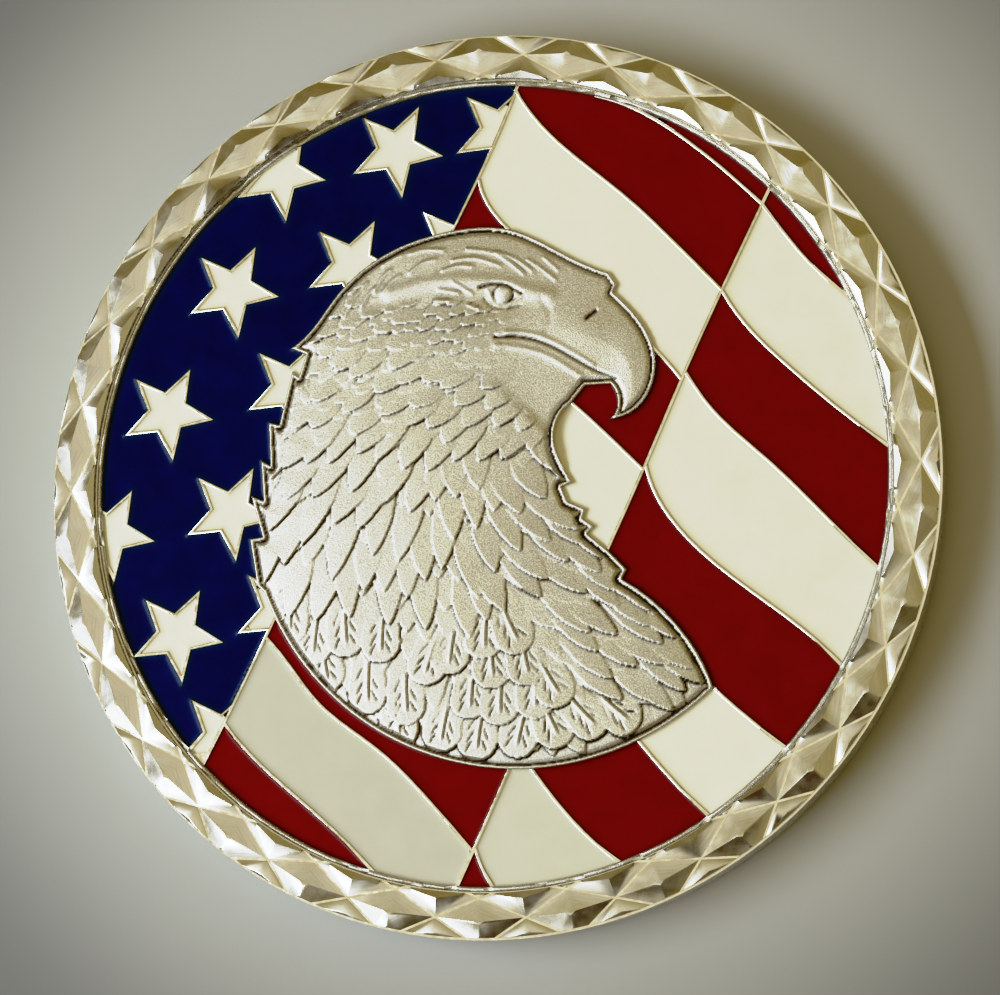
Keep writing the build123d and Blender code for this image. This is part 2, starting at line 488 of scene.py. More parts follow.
@dataclass(frozen=True)
class BlastedSilver:
    """Silver plate over a die struck from a sandblasted cavity: a fine even grain, satin and pale.

    The grit is about 0.05 mm and every crystal glints a little lighter or darker. Recesses are darkened with
    painted shade, a warm brown laid in by the attribute "recess", which draws each feather's edge to the eye.
    """

    name: str = "silver_plate_sandblasted"
    colour: str = "#DCDAD3"
    # Painted shade laid into recesses, standing in for the shadow at each step.
    glint: str = "#AFACA4"
    recess_shade: str = "#463724"
    grit: float = 0.065
    roughness: float = 0.44
    grain: float = 0.65
    grain_depth: float = 0.03
    cloud_size: float = 3.5

    def build(self) -> Material:
        """Makes the material, which reads the attribute "recess"."""
        material, tree, place = new_material(self.name)
        recess = add_node(tree, "ShaderNodeAttribute", {"attribute_name": "recess"}).outputs["Fac"]
        grit = noise(tree, place, self.grit, 3.0)
        cloud = noise(tree, place, self.cloud_size, 2.0)
        rough = remap(tree, cloud, (0.3, 0.7), (self.roughness - 0.04, self.roughness + 0.05))
        # Painted shade: the attribute "recess" mixes the grain colour towards the warm dark brown.
        tint = blend(tree, recess, ramp(tree, grit, [(0.36, self.glint), (0.62, self.colour)]), self.recess_shade)
        bump = add_node(
            tree, "ShaderNodeBump", Strength=self.grain, Distance=self.grain_depth * MM, Height=grit
        )
        wire(tree, tint, rough, bump)
        return material


@dataclass(frozen=True)
class CutSilver:
    """Silver plate on facets cut by a passing wheel: mirror flats ruled with fine, uneven tool lines.

    The lines run along each groove, drawn 0.1 mm apart so that they show, and here and there the wheel has
    dragged a rougher patch.
    """

    name: str = "silver_plate_diamond_cut"
    colour: str = "#CECDC9"
    shade: str = "#BFBDB8"
    pitch: float = 0.1
    run: float = 1.3
    patch: float = 0.9
    roughness: float = 0.27
    line_depth: float = 0.012

    def build(self) -> Material:
        """Makes the material, which reads the UV map "cut" in millimetres along and across a groove."""
        material, tree, place = new_material(self.name)
        cut = add_node(tree, "ShaderNodeUVMap", {"uv_map": "cut"}).outputs["UV"]
        fine = add_node(tree, "ShaderNodeMapping", Vector=cut, Scale=(1 / self.run, 1 / self.pitch, 1.0))
        lines = add_node(
            tree, "ShaderNodeTexNoise", Vector=fine.outputs["Vector"], Scale=1.0, Detail=3.0, Roughness=0.65
        ).outputs["Fac"]
        drag = noise(tree, place, self.patch, 4.0)
        tint = ramp(tree, lines, [(0.32, self.shade), (0.5, self.colour)])
        rough = remap(tree, drag, (0.35, 0.7), (self.roughness - 0.05, self.roughness + 0.12))
        pull = remap(tree, drag, (0.5, 0.66), (0.04, 0.7))
        bump = add_node(tree, "ShaderNodeBump", Distance=self.line_depth * MM, Height=lines, Strength=pull)
        wire(tree, tint, rough, bump)
        return material


@dataclass(frozen=True)
class PolishedSilver:
    """Silver plate left bright on lines and the edge, with the faint ripple of a hand-polished die."""

    name: str = "silver_plate_polished"
    colour: str = "#E6E5E1"
    shade: str = "#D3D0C8"
    roughness: float = 0.2
    ripple: float = 0.3
    ripple_depth: float = 0.03

    def build(self) -> Material:
        """Makes the material."""
        material, tree, place = new_material(self.name)
        ripple = noise(tree, place, self.ripple, 3.0)
        rough = remap(tree, ripple, (0.3, 0.7), (self.roughness - 0.07, self.roughness + 0.12))
        bump = add_node(tree, "ShaderNodeBump", Strength=0.3, Distance=self.ripple_depth * MM, Height=ripple)
        wire(tree, ramp(tree, ripple, [(0.3, self.shade), (0.6, self.colour)]), rough, bump)
        return material


@dataclass(frozen=True)
class SoftEnamel:
    """Oven-cured soft enamel: opaque, glossy, level but faintly wavy, and thinner where it climbs the metal.

    The pigment settles in soft clouds about 1.5 mm across, so it is never quite one colour, and its thin
    edge, marked by the attribute "edge", lets the metal lighten or tint it.
    """

    name: str
    colour: str
    cloud: str
    thin: str
    roughness: float = 0.2
    gloss: float = 0.13
    ior: float = 1.45
    cloud_size: float = 1.5
    wave_size: float = 2.4
    wave_depth: float = 0.06

    def build(self) -> Material:
        """Makes the material, which reads the attribute "edge"."""
        material, tree, place = new_material(self.name)
        edge = add_node(tree, "ShaderNodeAttribute", {"attribute_name": "edge"}).outputs["Fac"]
        cloud = noise(tree, place, self.cloud_size, 4.0, 0.6)
        tint = blend(tree, edge, ramp(tree, cloud, [(0.35, self.colour), (0.72, self.cloud)]), self.thin)
        wave = noise(tree, place, self.wave_size, 1.0)
        bump = add_node(tree, "ShaderNodeBump", Strength=0.25, Distance=self.wave_depth * MM, Height=wave)
        rough = remap(tree, cloud, (0.3, 0.7), (self.roughness - 0.03, self.roughness + 0.05))
        wire(tree, tint, rough, bump, metallic=0.0)
        inputs = tree.nodes["Principled BSDF"].inputs
        inputs["IOR"].default_value = self.ior
        inputs["Specular IOR Level"].default_value = self.gloss
        return material


# ---- the eagle


@dataclass(frozen=True)
class Feathers:
    """Overlapping feathers of one kind, each placed by its tip, with sizes in millimetres."""

    tips: tuple[Pair, ...]
    length: float
    width: float
    lift: float
    blunt: float = 0.0
    barbed: bool = False
    stray: float = 0.06


@dataclass(frozen=True)
class Stroke:
    """A ridge, or a groove where the height is negative, drawn along a few points."""

    points: tuple[Pair, ...]
    height: float
    width: float


def scatter(
    rng: np.random.Generator, middle: Pair, reach: float, step: Pair, turn: float, uneven: float = 0.22
) -> list[Pair]:
    """Staggers points in rows across the flow, with a little unevenness, as a die cutter's hand would.

    Args:
        rng: Seeded source of the unevenness.
        middle: Centre of the stretch that is filled.
        reach: How far the points go from there, each way.
        step: Spacing along a row and between rows.
        turn: Direction of the flow, in degrees.
        uneven: Most that a point strays, in shares of the spacing.

    Returns:
        The points.
    """
    along = np.array([math.cos(math.radians(turn)), math.sin(math.radians(turn))])
    across = np.array([-along[1], along[0]])
    found = []
    for row, v in enumerate(np.arange(-reach, reach, step[1])):
        for u in np.arange(-reach + 0.5 * step[0] * (row % 2), reach, step[0]):
            jitter = rng.uniform(-uneven, uneven, 2) * step
            found.append(tuple(np.array(middle) + (u + jitter[0]) * across + (v + jitter[1]) * along))
    return found


@dataclass
class EagleRelief:
    """The eagle's head and neck, struck in rounded relief inside a beaded border."""

    outline: Outline
    floor: float
    spacing: float = 0.066
    border_width: float = 0.17
    border_top: float = 2.7
    groove_floor: float = 2.6
    edge_height: float = 2.68
    crown: float = 0.2
    rise: float = 2.4
    highest: float = 3.17
    recess_start: float = 0.006
    recess_depth: float = 0.018
    smoothing: int = 4
    downward: float = 270.0
    eye: Pair = (0.98, 9.08)
    eye_radius: float = 0.46
    eye_bulge: float = 0.26
    pupil: Pair = (1.0, 9.36)
    flow: tuple[tuple[float, float, float], ...] = (
        (-3, 7, 212), (0, 6, 218), (-7, 8, 222), (-9, 5, 235), (-3, 4, 225), (-9, -1, 243), (1, 1, 240),
        (-5, 0, 250), (-9, -7, 265), (0, -2, 283), (4, -2, 318), (5, -6, 320), (8, -9, 325), (0, -12, 275),
        (-6, -10, 280), (3.5, 3, 250), (4.5, 0.5, 300),
    )

    def heading(self, x: float, y: float) -> float:
        """Direction in radians that feathers grow in, blended from the nearest led places."""
        weights = [1 / (0.3 + (x - a) ** 2 + (y - b) ** 2) ** 1.6 for a, b, _ in self.flow]
        return math.radians(sum(w * lead[2] for w, lead in zip(weights, self.flow)) / sum(weights))

    def feathers(self) -> list[Feathers]:
        """All the feathers in the order that they are laid, the underlayer first and the breast last."""
        rng = np.random.default_rng(SEED)
        under = [p for p in scatter(rng, (-1.5, -4.5), 13.0, (1.1, 1.5), 262) if -13.5 < p[1] < 5.4]
        cheek = [
            p for p in scatter(rng, (-2.5, 6.5), 6.5, (0.72, 0.6), 215)
            if 4.4 < p[1] < 8.7 - 0.14 * abs(p[0] + 2) and -8.0 < p[0] < 2.6
        ]
        nape = [p for p in scatter(rng, (-7.5, 5.0), 5.0, (1.0, 0.95), 228) if p[1] > 2.4 and p[0] < -3.8]
        middle = (
            (-6.6, 5.05), (-7.4, 5.4), (-4.6, 5.45), (-5.3, 4.25), (-4.1, 4.65), (-2.9, 4.7), (-1.95, 4.35),
            (0.1, 4.3), (-8.5, 3.9), (-6.9, 3.3), (-6.5, 2.2), (-5.0, 3.1), (-4.6, 2.05), (-2.6, 2.45),
            (-0.75, 2.45), (0.85, 2.45), (1.85, 3.7), (2.4, 3.05), (-8.6, 2.6), (-8.2, 1.7), (-3.5, 3.5),
            (-1.2, 3.5), (0.4, 3.3), (3.2, 2.0), (3.4, 3.8), (-9.6, 2.6), (-3.6, 2.6), (-1.7, 1.7),
            (2.0, 2.2),
        )
        hackles = (
            (-7.6, 0.8), (-8.8, 0.8), (-10.0, 0.6), (-6.1, 1.25), (-5.1, 0.9), (-3.8, 0.4), (-2.55, 0.3),
            (-1.2, 0.75), (0.0, 0.75), (1.1, 0.8), (2.5, 1.25), (-9.9, -1.0), (-6.4, -0.65), (-4.75, -1.25),
            (-3.4, -1.7), (-2.1, -1.15), (-1.05, -1.0), (0.9, -1.65), (2.2, -1.75), (-8.4, -0.9),
            (-7.3, -2.2), (0.1, -0.6), (3.6, 0.4), (3.4, -1.0),
        )
        long_hackles = (
            (-10.8, -2.6), (-8.85, -3.2), (-10.9, -5.2), (-9.5, -6.8), (-8.1, -7.0), (-6.0, -2.5),
            (-5.2, -3.8), (-3.9, -4.1), (-2.5, -5.0), (-1.1, -3.0), (0.0, -2.5), (-1.7, -4.5), (1.0, -4.6),
            (3.5, -4.95), (1.45, -6.5), (0.6, -7.0), (-0.2, -7.8), (-2.4, -7.4), (-4.3, -7.2), (-5.6, -5.5),
            (-6.3, -6.8), (4.5, -0.35), (5.0, -2.5), (-7.3, -5.0), (-3.4, -5.9), (2.2, -3.6), (-9.8, -4.2),
            (-4.6, -5.6), (0.2, -5.9),
        )
        flank = (
            (5.0, -3.2), (6.4, -4.0), (3.6, -3.1), (4.5, -4.1), (6.1, -4.6), (5.4, -5.6), (3.2, -5.8),
            (6.8, -5.5), (7.9, -6.0), (7.0, -6.3), (8.9, -6.6), (5.6, -7.5), (6.9, -7.6), (8.5, -7.2),
            (10.1, -7.8), (6.0, -8.4), (9.5, -9.0), (7.9, -9.1), (10.6, -9.2), (10.2, -10.3), (8.8, -10.8),
            (7.2, -10.7), (6.7, -9.7), (9.1, -8.0), (11.1, -9.9), (9.6, -11.2),
        )
        breast = (
            (0.6, -8.8), (2.5, -8.4), (2.9, -10.0), (1.1, -10.2), (-0.1, -11.7), (-1.6, -13.3), (-2.5, -10.1),
            (-3.2, -12.0), (0.2, -13.7), (1.4, -12.0), (2.1, -13.6), (3.2, -11.7), (4.6, -10.9), (4.5, -12.9),
            (6.4, -12.2), (-9.3, -8.1), (-8.1, -9.1), (-7.2, -10.4), (-6.3, -8.7), (-5.2, -11.5),
            (-4.6, -9.0), (-1.2, -9.6), (8.0, -11.9), (-3.6, -13.2),
        )
        return [
            Feathers(tuple(under), 2.6, 1.3, 0.11),
            Feathers(tuple(nape), 1.5, 1.05, 0.13, 0.35),
            Feathers(tuple(cheek), 1.0, 0.62, 0.1, 0.4),
            Feathers(middle, 2.4, 1.4, 0.18, 0.25),
            Feathers(hackles, 3.2, 1.45, 0.2, 0.1),
            Feathers(long_hackles, 3.9, 1.4, 0.22, 0.1),
            Feathers(flank, 3.8, 1.1, 0.21, 0.3),
            Feathers(breast, 3.3, 2.0, 0.21, 1.0, True, 0.14),
        ]

    def strokes(self) -> list[Stroke]:
        """Ridges and grooves of the crown, brow, beak and cheek."""
        crown = (
            ((-0.9, 11.4), (0.3, 11.25), (1.0, 10.9), (2.0, 10.05)),
            ((-1.6, 10.85), (-0.5, 11.0), (0.8, 10.5)),
            ((-2.1, 10.35), (-1.3, 10.6), (-0.6, 10.5)),
            ((2.2, 10.75), (3.0, 10.2), (3.6, 9.7)),
            ((3.0, 10.85), (3.7, 10.2)),
            ((-3.8, 11.3), (-3.0, 11.5), (-2.1, 11.4)),
            ((-3.8, 10.3), (-3.2, 10.8), (-2.5, 10.95)),
            ((-5.2, 10.8), (-4.3, 11.3)),
            ((-5.6, 9.4), (-5.2, 10.2), (-4.8, 10.5)),
            ((-5.2, 9.3), (-4.8, 9.9), (-4.3, 10.2)),
            ((-7.1, 8.2), (-6.6, 9.2), (-6.0, 9.9)),
            ((-6.3, 8.6), (-5.9, 9.3), (-5.6, 9.6)),
            ((0.6, 11.2), (1.5, 10.9), (2.4, 10.2)),
        )
        return [
            *(Stroke(line, 0.045, 0.09) for line in crown),
            Stroke(((-4.8, 9.3), (-2.5, 9.9), (0.0, 9.75), (1.3, 9.6), (2.0, 9.25), (3.3, 8.9)), 0.08, 0.36),
            Stroke(((-0.2, 9.45), (0.4, 9.62), (1.2, 9.5), (1.9, 9.1)), -0.08, 0.08),
            Stroke(((0.2, 9.3), (0.45, 8.8), (1.0, 8.55), (1.6, 8.7), (1.95, 9.0)), 0.035, 0.08),
            Stroke(((0.0, 8.9), (0.3, 8.5), (1.0, 8.3), (1.8, 8.5)), -0.03, 0.09),
            *(
                Stroke(dash, 0.05, 0.09)
                for dash in (
                    ((-2.3, 9.4), (-1.3, 9.2)), ((-1.5, 9.7), (-0.6, 9.15)), ((-2.4, 8.85), (-1.7, 8.8)),
                    ((-0.8, 8.6), (-0.2, 8.35)),
                )
            ),
            Stroke(((0.6, 6.95), (2.2, 6.9), (3.5, 6.4), (4.5, 5.8), (5.5, 5.2), (6.6, 4.75)), -0.07, 0.08),
            Stroke(((1.2, 7.15), (2.4, 7.1), (3.5, 6.65), (4.6, 6.0), (5.5, 5.45)), 0.04, 0.12),
            Stroke(((0.7, 6.5), (2.0, 6.35), (3.3, 5.95), (4.6, 5.1), (5.3, 4.65)), 0.05, 0.14),
            Stroke(((2.9, 8.8), (3.3, 8.2), (3.4, 7.6), (3.1, 7.2)), -0.02, 0.18),
            Stroke(((5.15, 7.75), (5.4, 7.95), (5.6, 8.1)), -0.1, 0.09),
        ]

    def feather_field(self, points: np.ndarray) -> np.ndarray:
        """Height of the feathers over the bare form.

        Args:
            points: Places, one per row.

        Returns:
            Millimetres over the form, one per point.
        """
        cover = np.zeros(len(points))
        rng = np.random.default_rng(SEED)
        for kind in self.feathers():
            for x, y in kind.tips:
                turn = self.heading(x, y) + rng.normal(0, kind.stray)
                along = np.array([math.cos(turn), math.sin(turn)])
                length = kind.length * rng.uniform(0.92, 1.12)
                away = points - (np.array([x, y]) - length * along)
                near = np.nonzero((np.abs(away) < 1.5 * length).all(1))[0]
                u = away[near] @ along / length
                v = away[near] @ np.array([-along[1], along[0]])
                v = v + 0.09 * kind.width * np.sin(2.6 * u - 0.8)
                shoulder = 0.4 + 0.3 * kind.blunt
                past = np.clip((u - shoulder) / (1 - shoulder), 0, 1)
                taper = (1 - past ** (1.6 + 0.5 * kind.blunt)) ** (0.75 - 0.25 * kind.blunt)
                half = 0.5 * kind.width * np.where(u < shoulder, 0.7 + 0.3 * u / shoulder, taper) + 1e-6
                side = np.clip(v / (0.5 * kind.width), -1, 1)
                lean = np.clip((self.downward - math.degrees(turn)) / 20, -1, 1)
                top = kind.lift * np.clip(u, 0, 1) ** 0.8 * (0.68 + 0.32 * lean * side)
                if kind.barbed:
                    top += self.barbs(u * length, v, length)
                inside = (u > 0) & (u < 1) & (np.abs(v) < half)
                cover[near] = np.maximum(cover[near], np.where(inside, top, 0))
        return cover

    @staticmethod
    def barbs(run: np.ndarray, v: np.ndarray, length: float) -> np.ndarray:
        """Raised quill of a broad feather, and the short cuts that leave it towards the tip.

        Args:
            run: Distance from the feather's root.
            v: Distance across it.
            length: The feather's length.

        Returns:
            Millimetres over the feather's plate.
        """
        quill = ease(0.25, 0.4, run / length) * (1 - ease(0.74, 0.86, run / length))
        top = 0.05 * quill * np.exp(-((v / 0.07) ** 2)) - 0.025 * quill * np.exp(-(((v - 0.13) / 0.06) ** 2))
        cuts = ((0.42, -1, 0.3), (0.6, -1, 0.26), (0.74, -1, 0.3), (0.56, 1, 0.34), (0.72, 1, 0.3))
        for share, way, near in cuts:
            out = way * v
            window = ease(near - 0.1, near, out) * (1 - ease(near + 0.16, near + 0.26, out))
            top -= 0.07 * window * np.exp(-(((run - length * share - 1.8 * (out - near)) / 0.08) ** 2))
        return top

    def form(self, points: np.ndarray, depth: np.ndarray) -> np.ndarray:
        """Bare rounded form of the head, beak and neck.

        Args:
            points: Places, one per row.
            depth: Distance of each to the outline.

        Returns:
            Heights in millimetres.
        """
        x, y = points.T
        form = self.edge_height + self.crown * (1 - np.exp(-np.maximum(depth - 0.35, 0) / self.rise))
        lumps = (
            (0.6, 8.6, 1.7, 0.8, -0.07),
            (-1.5, 10.7, 3.2, 1.0, 0.05),
            (-2.0, 6.8, 2.8, 1.5, 0.05),
            (5.0, 7.3, 1.6, 1.3, 0.08),
            (7.3, 6.2, 0.9, 1.3, 0.06),
            (3.0, 5.4, 1.6, 0.7, -0.02),
        )
        for cx, cy, rx, ry, height in lumps:
            form = form + height * np.exp(-(((x - cx) / rx) ** 2) - ((y - cy) / ry) ** 2)
        return form

    def face(self, points: np.ndarray) -> np.ndarray:
        """Height of the strokes and the eye over the form.

        Args:
            points: Places, one per row.

        Returns:
            Millimetres over the form, one per point.
        """
        face = np.zeros(len(points))
        for stroke in self.strokes():
            line = Outline.of_stroke(stroke.points)
            low, high = line.box()
            near = np.nonzero(((points > low - 1) & (points < high + 1)).all(1))[0]
            away = line.nearest(points[near])[1]
            face[near] += stroke.height * np.exp(-((away / stroke.width) ** 2))
        gap = np.linalg.norm(points - self.eye, axis=1)
        eyeball = np.sqrt(np.maximum(self.eye_radius**2 - gap**2, 0)) * self.eye_bulge
        pupil = 0.03 * np.exp(-((np.linalg.norm(points - self.pupil, axis=1) / 0.1) ** 2))
        ring = 0.025 * np.exp(-(((gap - self.eye_radius - 0.04) / 0.06) ** 2))
        return face + eyeball - pupil - ring

    def height(self, points: np.ndarray, depth: np.ndarray) -> np.ndarray:
        """Height of the whole relief.

        Args:
            points: Places, one per row.
            depth: Distance of each to the outline.

        Returns:
            Heights in millimetres.
        """
        x, y = points.T
        plumage = 1 - ease(4.3, 5.2, y + 0.9 * np.maximum(x - 0.5, 0)) * ease(-1.0, 3.0, x)
        plumage *= 1 - ease(8.7, 9.6, y + 0.15 * np.abs(x + 1)) * ease(-7.5, -5.5, x)
        relief = self.form(points, depth) + plumage * self.feather_field(points) + self.face(points)
        bead_place = (depth - self.border_width / 2) / (self.border_width / 2)
        bead = np.sqrt(np.clip(1 - 0.8 * bead_place**2, 0, 1)) * (self.border_top - self.groove_floor)
        inner = ease(self.border_width + 0.02, self.border_width + 0.3, depth)
        blend = self.groove_floor + inner * (relief - self.groove_floor)
        return np.minimum(np.where(depth < self.border_width, self.groove_floor + bead, blend), self.highest)

    def build(self, finish: Material) -> bpy.types.Object:
        """Makes the relief and marks its recesses.

        Args:
            finish: Sandblasted silver.

        Returns:
            The piece.
        """
        bm = Inlay(self.outline, self.spacing, self.floor, self.height, gridded_back=False).build()
        # Marks how far each point lies below its smoothed neighbourhood. The blasted silver turns this into
        # painted shade.
        recess = bm.verts.layers.float.new("recess")
        heights = {v: v.co.z for v in bm.verts}
        mean = dict(heights)
        for _ in range(self.smoothing):
            mean = {v: sum(mean[e.other_vert(v)] for e in v.link_edges) / len(v.link_edges) for v in bm.verts}
        for vert in bm.verts:
            depth = mean[vert] - heights[vert] - self.recess_start
            vert[recess] = min(max(depth / self.recess_depth, 0.0), 1.0)
        return finish_piece(bm, "eagle_relief", ["coin_body"], [finish], crease=60)


# ---- the struck body


@dataclass
class StruckBody:
    """The plated blank: faceted rim, sandblasted ring groove, raised lines, reverse and the eagle's seat."""

    dome_centre: Pair = (-0.5, -0.5)
    dome_crown: float = 3.12
    dome_radius: float = 230.0
    line_top: float = 2.56
    seat: float = 2.12
    rim_inner: float = 19.97
    ring_inner: float = 19.62
    lines_reach: float = 19.65
    reverse_field: float = 18.7
    leaves_reach: float = 18.0
    leaf_foot: float = 0.2
    reverse_floor: Pair = (0.35, 0.45)
    tilted: float = 0.3
    upright: float = 0.1
    flat: float = 0.99
    same_level: float = 0.01
    groove_floor: float = 2.5
    groove_raised: float = 2.6
    line_bevel: float = 0.04
    leaf_bevel: float = 0.08
    bm: BMesh = field(default_factory=lambda: merged_copy("coin_body"))

    def eagle_outline(self) -> Outline:
        """Border of the eagle's dome."""
        return Outline.of_faces(self.bm, self.dome())

    def dome(self) -> set[Face]:
        """Faces on top of the plain eagle, which all lie on one sphere."""
        centre = Vector((*self.dome_centre, self.dome_crown - self.dome_radius))
        domed = {v for v in self.bm.verts if abs((v.co - centre).length - self.dome_radius) < 2e-3}
        return {f for f in self.bm.faces if f.normal.z > 0.9 and domed.issuperset(f.verts)}

    def sink_seat(self) -> None:
        """Lowers the plain dome to the pocket floor, for the relief, and makes the ring groove shallower."""
        bm = self.bm
        for vert in {v for face in self.dome() for v in face.verts}:
            vert.co.z = self.seat
        for vert in bm.verts:
            if abs(vert.co.z - self.groove_floor) < self.same_level and vert.co.xy.length > self.ring_inner:
                vert.co.z = self.groove_raised
        bmesh.ops.remove_doubles(bm, verts=bm.verts, dist=2 * WELD)
        bmesh.ops.dissolve_degenerate(bm, edges=bm.edges, dist=2 * WELD)
        bmesh.ops.dissolve_limit(
            bm, angle_limit=math.radians(0.5), verts=bm.verts, edges=bm.edges, use_dissolve_boundaries=False
        )
        bmesh.ops.holes_fill(bm, edges=[e for e in bm.edges if e.is_boundary], sides=0)
        bm.normal_update()

    def round_edges(self, offset: float, chosen: Callable[[Edge], bool]) -> None:
        """Rounds sharp edges a little, as plating does.

        Args:
            offset: Width of the rounding.
            chosen: Tells which edges are rounded.
        """
        edges = [e for e in self.bm.edges if len(e.link_faces) == 2 and chosen(e)]
        bmesh.ops.bevel(
            self.bm, geom=edges, offset=offset, offset_type="OFFSET", segments=2, profile=0.5, affect="EDGES",
            clamp_overlap=False, material=-1,
        )
        self.bm.normal_update()

    def is_shoulder(self, edge: Edge, side: int, reach: float) -> bool:
        """True where a level face that looks up, 1, or down, -1, meets a wall within a reach."""
        tilts = [side * f.normal.z for f in edge.link_faces]
        near = max(v.co.xy.length for v in edge.verts) < reach
        return near and max(tilts) > self.flat and min(map(abs, tilts)) < self.upright

    def is_line_edge(self, edge: Edge) -> bool:
        """True along the top of a raised line."""
        level = all(abs(v.co.z - self.line_top) < self.same_level for v in edge.verts)
        return level and self.is_shoulder(edge, 1, self.lines_reach)

    def is_leaf_edge(self, edge: Edge) -> bool:
        """True round the raised leaves and star of the reverse."""
        low = max(v.co.z for v in edge.verts) < self.leaf_foot
        return low and self.is_shoulder(edge, -1, self.leaves_reach)

    def zone(self, face: Face) -> Zone:
        """Finish that the coin has on a face."""
        reach = face.calc_center_median().xy.length
        if reach > self.rim_inner and abs(face.normal.z) > self.tilted:
            return Zone.CUT
        reverse = face.normal.z < -self.tilted and reach < self.reverse_field
        groove = face.normal.z > -self.tilted and self.ring_inner < reach <= self.rim_inner
        return Zone.BLASTED if reverse or groove else Zone.POLISHED

    def rule_cuts(self) -> None:
        """Lays the UV map "cut" along and across each facet's groove, in millimetres."""
        layer = self.bm.loops.layers.uv.new("cut")
        for face in self.bm.faces:
            slope = Vector((face.normal.x, face.normal.y))
            across = slope.normalized() if slope.length > 0.05 else face.calc_center_median().xy.normalized()
            along = Vector((-across.y, across.x))
            for loop in face.loops:
                place = loop.vert.co.xy
                loop[layer].uv = (place.dot(along), place.dot(across))

    def build(self, finishes: Sequence[Material]) -> bpy.types.Object:
        """Dresses the body.

        Args:
            finishes: Materials in the order of Zone.

        Returns:
            The piece.
        """
        self.sink_seat()
        self.round_edges(self.line_bevel, self.is_line_edge)
        self.round_edges(self.leaf_bevel, self.is_leaf_edge)
        for face in self.bm.faces:
            face.material_index = self.zone(face).value
        self.rule_cuts()
        # Painted shade: the reverse's sunken floor is darkened a quarter of the way towards the blasted
        # silver's recess shade.
        recess = self.bm.verts.layers.float.new("recess")
        low, high = self.reverse_floor
        for vert in self.bm.verts:
            vert[recess] = 0.25 if low < vert.co.z < high else 0.0
        return finish_piece(self.bm, "struck_body", ["coin_body"], finishes)


# ---- enamel


@dataclass
class EnamelFill:
    """One cell of soft enamel, level in the middle and climbing the metal round it."""

    node: str
    slot: Slot
    finest: float = 0.05
    coarsest: float = 0.12
    dip: float = 0.03
    climb: float = 0.06
    reach: float = 0.12
    cells_across: int = 90

    def build(self, finish: Material) -> bpy.types.Object:
        """Pours the cell.

        Args:
            finish: Its enamel.

        Returns:
            The piece.
        """
        cad = merged_copy(self.node)
        low, high = (corner.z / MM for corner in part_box(self.node))
        top = {f for f in cad.faces if f.normal.z > 0.9}
        outline = Outline.of_faces(cad, top)
        width = math.sqrt(sum(f.calc_area() for f in top))
        spacing = min(max(width / self.cells_across, self.finest), self.coarsest)
        cad.free()

        def level(points: np.ndarray, depth: np.ndarray) -> np.ndarray:
            """Height of the enamel by its distance to the metal."""
            return high - self.dip + self.climb * np.exp(-depth / self.reach)

        bm = Inlay(outline, spacing, low, level).build()
        edge = bm.verts.layers.float.new("edge")
        for vert in bm.verts:
            vert[edge] = min(max((vert.co.z - high + self.dip) / self.climb, 0.0), 1.0)
        name = self.node.replace("_fill", "")
        return finish_piece(bm, name, [self.node], [finish], crease=40)


# ---- the studio


